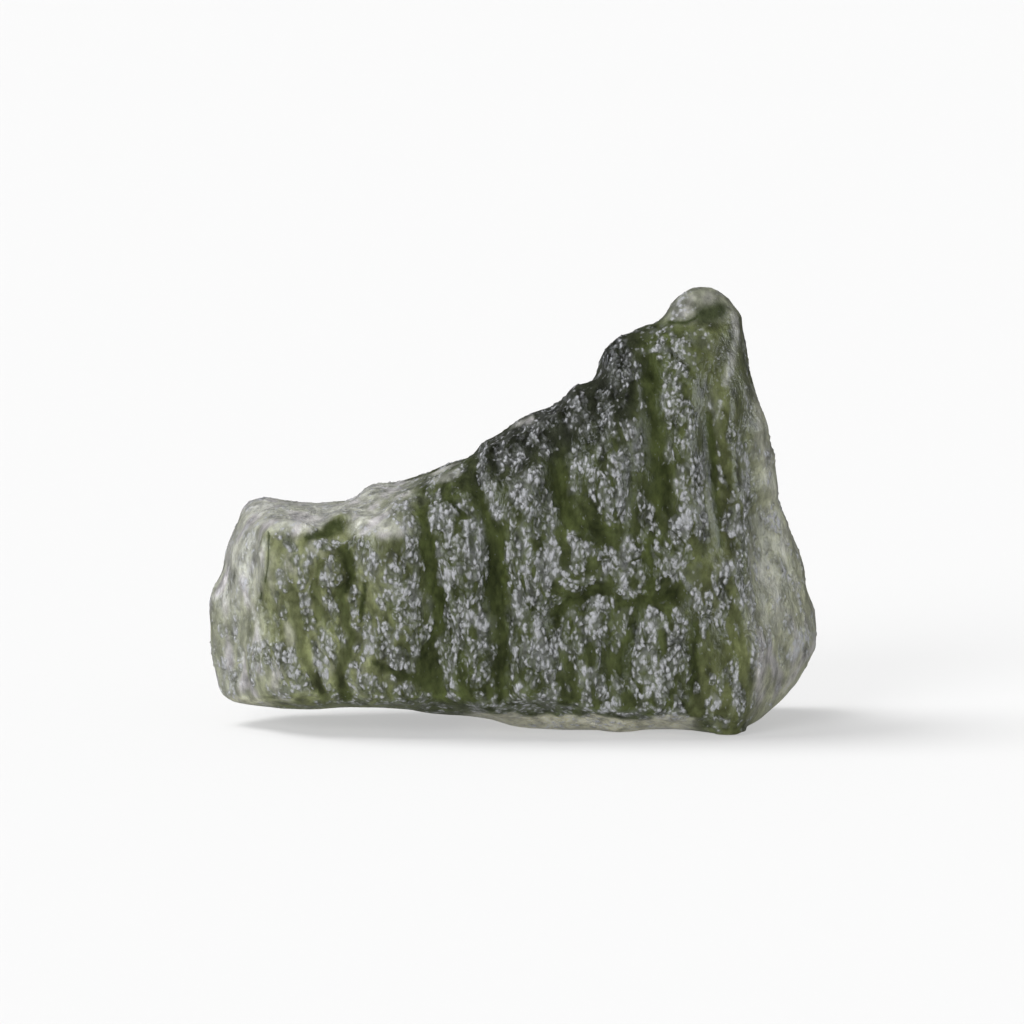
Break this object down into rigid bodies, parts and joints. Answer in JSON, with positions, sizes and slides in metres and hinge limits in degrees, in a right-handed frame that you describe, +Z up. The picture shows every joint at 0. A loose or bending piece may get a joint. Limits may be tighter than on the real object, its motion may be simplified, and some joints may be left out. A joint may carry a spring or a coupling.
{
  "type": "moldavite",
  "caption": "Rough piece of natural green glass with a flowed, grooved skin, low at one end and rising to a knob, standing on a small flat spot.",
  "frame": {"origin": "middle of the bounding box, at the level of the flat spot it rests on", "axes": "+X along the length from the low end to the knob's end, +Y from the grooved front face to the back, +Z up"},
  "size_m": [0.0202, 0.0084, 0.0148],
  "materials": {
    "moldavite_glass": "etched satin"
  },
  "bodies": {
    "root": {"moldavite": "moldavite_glass"}
  },
  "joints": []
}
